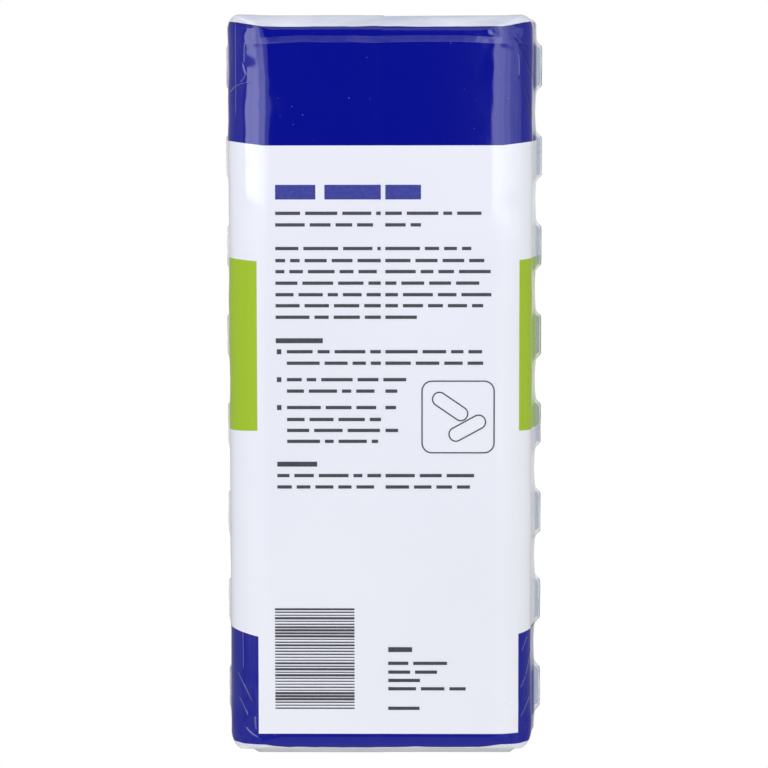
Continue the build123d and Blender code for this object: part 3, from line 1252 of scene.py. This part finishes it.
@dataclass
class Studio:
    """The camera, the lamps, the floor and the white surroundings."""

    distance: float = 900.0
    target: tuple[float, float, float] = (3.92, 0.25, 0.0)
    pitch_deg: float = 5.34
    side_deg: float = -0.72
    focal_px: float = 2973.7
    frame_px: float = 768.0
    sensor: float = 36.0
    floor_half: float = 2.0
    floor_fade: float = 1.0
    floor_soft: float = 1.4
    box_reach: float = 0.7
    box_start: float = 0.03
    box_length: float = 0.75
    boxes: tuple[tuple[str, float, float, float], ...] = (
        ("left_far", -50, 38, 2.15), ("left_mid", -23.5, 15, 1.35), ("left_near", -12, 8, 0.55),
        ("right_near", 11, 12, 1.8), ("right_next", 24, 14, 1.45), ("right_mid", 39, 16, 1.05),
        ("right_wide", 57, 20, 0.6), ("right_far", 75, 16, 0.35),
    )
    fills: tuple[tuple[str, tuple[float, float, float], float, float], ...] = (
        ("top_fill", (-0.25, -0.2, 1.05), 0.9, 1.6),
        ("rear_fill", (0.0, 0.95, -0.5), 0.9, 1.1),
        ("front_fill", (0.0, -0.95, -0.5), 0.9, 0.55),
        ("foot_fill", (-0.5, 0.0, -0.3), 0.4, 2.5),
    )
    box_tint: Colour = (0.92, 0.94, 1.12)
    head_lamp: tuple[float, float, float] = (0.26, 0.0, -0.72)
    head_lamp_size: tuple[float, float] = (0.5, 0.2)
    head_lamp_level: float = 0.55
    floor_z: float = -0.0004
    floor_tones: tuple[Colour, Colour] = (srgb(244, 244, 245), srgb(240, 240, 242))
    speckle: Pattern = Pattern(60)
    clip: Span = (0.05, 20)
    mirror_patches: Pattern = Pattern(4.5, 1)
    mirror_tones: tuple[Colour, Colour] = ((0.2, 0.2, 0.21), (0.45, 0.45, 0.46))
    mirror_head: Colour = (0.04, 0.04, 0.045)
    mirror_foot: Colour = (0.3, 0.3, 0.31)
    mirror_above: Colour = (0.26, 0.26, 0.265)
    mirror_zenith: Colour = (0.7, 0.7, 0.71)
    mirror_camera: Colour = (0.02, 0.02, 0.024)
    light_below: Colour = (0.22, 0.22, 0.225)
    light_above: Colour = (0.78, 0.78, 0.79)
    seen_white: Colour = (1.0, 1.0, 1.0)

    def camera(self) -> bpy.types.Object:
        """Set the camera under the base, where the photograph was taken from."""
        data = bpy.data.cameras.new("camera")
        data.sensor_width = self.sensor
        data.lens = self.focal_px / self.frame_px * self.sensor
        data.clip_start, data.clip_end = self.clip
        made = bpy.data.objects.new("camera", data)
        bpy.context.scene.collection.objects.link(made)
        pitch, side = math.radians(self.pitch_deg), math.radians(self.side_deg)
        level = Vector((-math.sin(pitch), 0, math.cos(pitch)))
        ahead = level * math.cos(side) + Vector((0, math.sin(side), 0))
        up = Vector((math.cos(pitch), 0, math.sin(pitch)))
        target = Vector(self.target) * MM
        made.matrix_world = look_matrix(target - ahead * self.distance * MM, target, up)
        bpy.context.scene.camera = made
        return made

    def lamp(
        self,
        name: str,
        place: Sequence[float],
        size: tuple[float, float],
        level: float,
        target: Sequence[float] = (0, 0, 0),
    ) -> bpy.types.Object:
        """Add a rectangular lamp of a given brightness.

        Args:
            name: The lamp's name.
            place: Where it stands, in metres.
            size: Its width and height.
            level: Brightness of its face.
            target: What it faces.

        Returns:
            The lamp.
        """
        data = bpy.data.lights.new(name, "AREA")
        data.shape = "RECTANGLE"
        data.size, data.size_y = size
        data.energy = level * math.pi * size[0] * size[1]
        made = bpy.data.objects.new(name, data)
        bpy.context.scene.collection.objects.link(made)
        made.matrix_world = look_matrix(Vector(place), Vector(target), Vector((1, 0, 0)))
        made.visible_camera = False
        return made

    def side_box(self, name: str, turn: float, spread: float, level: float) -> bpy.types.Object:
        """Add a long soft box beside the camera, toward the head end.

        Args:
            name: The lamp's name.
            turn: Angle of its middle from straight below, in degrees, positive toward the rear row.
            spread: Angle that it covers, in degrees.
            level: Brightness of its face.

        Returns:
            The lamp.
        """
        angle, reach = math.radians(turn), self.box_reach
        x = self.box_start + self.box_length / 2
        place = (x, reach * math.sin(angle), -reach * math.cos(angle))
        width = 2 * reach * math.tan(math.radians(spread / 2))
        made = self.lamp(name, place, (width, self.box_length), level, (x, 0, 0))
        made.data.color = self.box_tint
        return made

    def world(self) -> None:
        """White where seen straight; what the film mirrors is grey, and dark where the camera stands."""
        world = bpy.data.worlds.new("studio")
        world.use_nodes = True
        bpy.context.scene.world = world
        graph = Graph(world.node_tree)
        rays = graph.node("ShaderNodeLightPath").outputs
        seen = Value(graph, rays["Is Camera Ray"]).over(Value(graph, rays["Is Transmission Ray"]))
        mirrored = Value(graph, rays["Is Glossy Ray"])
        place = graph.value("ShaderNodeTexCoord", {}, {}, "Generated")
        split = graph.node("ShaderNodeSeparateXYZ", {}, {0: place}).outputs
        toward_head, height = Value(graph, split[0]), Value(graph, split[2])
        around = graph.mix(graph.noise(place, self.mirror_patches).past(0.5, 0.28), *self.mirror_tones)
        for share, tone in (
            (toward_head.past(0.38, 0.2), self.mirror_head),
            (1 - toward_head.past(-0.3, 0.3), self.mirror_foot),
            (height.past(0.1, 1.0), self.mirror_above),
            (height.past(0.965, 0.05), self.mirror_zenith),
            (1 - height.past(-0.968, 0.03), self.mirror_camera),
        ):
            around = graph.mix(share, around, tone)
        light = graph.mix(height.past(-0.12, 0.1), self.light_below, self.light_above)
        tone = graph.mix(seen, graph.mix(mirrored, light, around), self.seen_white)
        sky = graph.node("ShaderNodeBackground", {}, {"Color": tone, "Strength": 1.0})
        graph.node("ShaderNodeOutputWorld", {}, {"Surface": sky.outputs[0]})

    def floor(self) -> bpy.types.Object:
        """Lay a pale floor that fades out far off and shows from above only, to leave the base in view."""
        material, graph = new_material("pale_floor")
        place = graph.value("ShaderNodeTexCoord", {}, {}, "Object")
        tone = graph.mix(graph.noise(place, self.speckle), *self.floor_tones)
        matt = graph.node("ShaderNodeBsdfDiffuse", {}, {"Color": tone})
        gone = graph.node("ShaderNodeBsdfTransparent")
        back = Value(graph, graph.node("ShaderNodeNewGeometry").outputs["Backfacing"])
        far = graph.value("ShaderNodeVectorMath", {"operation": "LENGTH"}, {0: place}, "Value")
        hidden = back.over(far.past(self.floor_fade, self.floor_soft))
        sockets = {0: hidden, 1: matt.outputs[0], 2: gone.outputs[0]}
        both = graph.node("ShaderNodeMixShader", {}, sockets)
        graph.node("ShaderNodeOutputMaterial", {}, {"Surface": both.outputs[0]})
        half = self.floor_half
        mesh = bpy.data.meshes.new("floor")
        signs = ((-1, -1), (1, -1), (1, 1), (-1, 1))
        mesh.from_pydata([(x * half, y * half, self.floor_z) for x, y in signs], [], [(0, 1, 2, 3)])
        made = make_object("floor", mesh, material)
        made.visible_diffuse = False
        made.visible_glossy = False
        made.visible_shadow = False
        return made

    def build(self) -> None:
        """Set up the whole studio."""
        self.camera()
        self.world()
        self.floor()
        for name, turn, spread, level in self.boxes:
            self.side_box(name, turn, spread, level)
        self.lamp("head_near", self.head_lamp, self.head_lamp_size, self.head_lamp_level)
        for name, place, size, level in self.fills:
            self.lamp(name, place, (size, size), level).visible_glossy = False
        bpy.context.scene.view_settings.view_transform = "Standard"


FRONT_CRUMPLES = (Crumple((243, 32), 6.5, 0.22, 3), Crumple((248, 726), 8, 0.5, 5))
REAR_CRUMPLES = (Crumple((512, 34), 6.5, 0.22, 8), Crumple((524, 728), 7, 0.45, 9))
FILM_HALVES = (
    FilmHalf(
        Row.FRONT, FRONT_CRUMPLES, seed=11,
        side_round=12.9, side_rise=12.4, shoulder=47.3, valley=47.1,
    ),
    FilmHalf(
        Row.REAR, REAR_CRUMPLES, seed=23, flat_y=33.2,
        side_round=12.1, side_rise=10.4, shoulder=45.4, valley=46.9,
    ),
)
LID_CLARITY = 0.12
MOULDINGS = {
    Row.FRONT: ("lilac", srgb(196, 184, 226), srgb(172, 158, 210)),
    Row.REAR: ("blue", srgb(168, 200, 230), srgb(140, 178, 216)),
}
TEXT_INK = Ink("text_ink", srgb(52, 52, 58))
TITLE_INK = Ink("title_ink", srgb(24, 34, 140))
MARK_INK = Ink("mark_white", srgb(238, 238, 244), 0.33)


def note(piece: bpy.types.Object) -> None:
    """Log a finished piece."""
    LOG.info("%s: %d faces", piece.name, len(piece.data.polygons))


def wrap_trays() -> None:
    """Make both halves of the film."""
    film = PrintedFilm().material()
    for half in FILM_HALVES:
        note(half.build(film))


def colour_mouldings() -> None:
    """Give each row's tray and lids their plastic."""
    for row, (tone, colour, deep) in MOULDINGS.items():
        plastics = {
            "tray": MouldedPlastic(f"tray_{tone}", colour, deep).material(),
            "lid": MouldedPlastic(f"lid_{tone}", colour, deep, see_through=LID_CLARITY).material(),
        }
        for name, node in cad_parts.items():
            for kind, plastic in plastics.items():
                if name.startswith(f"{kind}_{row.label}"):
                    node.data.materials.clear()
                    node.data.materials.append(plastic)


def print_panel() -> None:
    """Print the white panel: bars, ruled block, title and sign."""
    ink, title_ink = TEXT_INK.material(), TITLE_INK.material()
    panel = PanelPrint()
    tree = panel.tree()
    text = panel.words(panel.body_lines, panel.bar_height)
    text += panel.whole(panel.bullets, panel.heading_height)
    text += panel.whole(panel.headings, panel.heading_height) + panel.ruled_block()
    title = panel.whole(panel.title, panel.title_height)
    for row in Row:
        for name, bars, tone in (("text_bars", text, ink), ("title_bars", title, title_ink)):
            piece = panel.build(f"{name}_{row.label}", row, bars, tone, tree)
            if piece:
                note(piece)
    note(panel.build_sign(ink))


def mark_lids() -> None:
    """Raise the marks on the lids."""
    ink = MARK_INK.material()
    for row in Row:
        for piece in LidMarks(row).build(ink):
            note(piece)


def main() -> None:
    """Build the organizer's looks piece by piece, then the studio."""
    logging.basicConfig(level=logging.INFO, format="%(name)s: %(message)s")
    wrap_trays()
    colour_mouldings()
    print_panel()
    mark_lids()
    Studio().build()


if __name__ == "__main__":
    main()
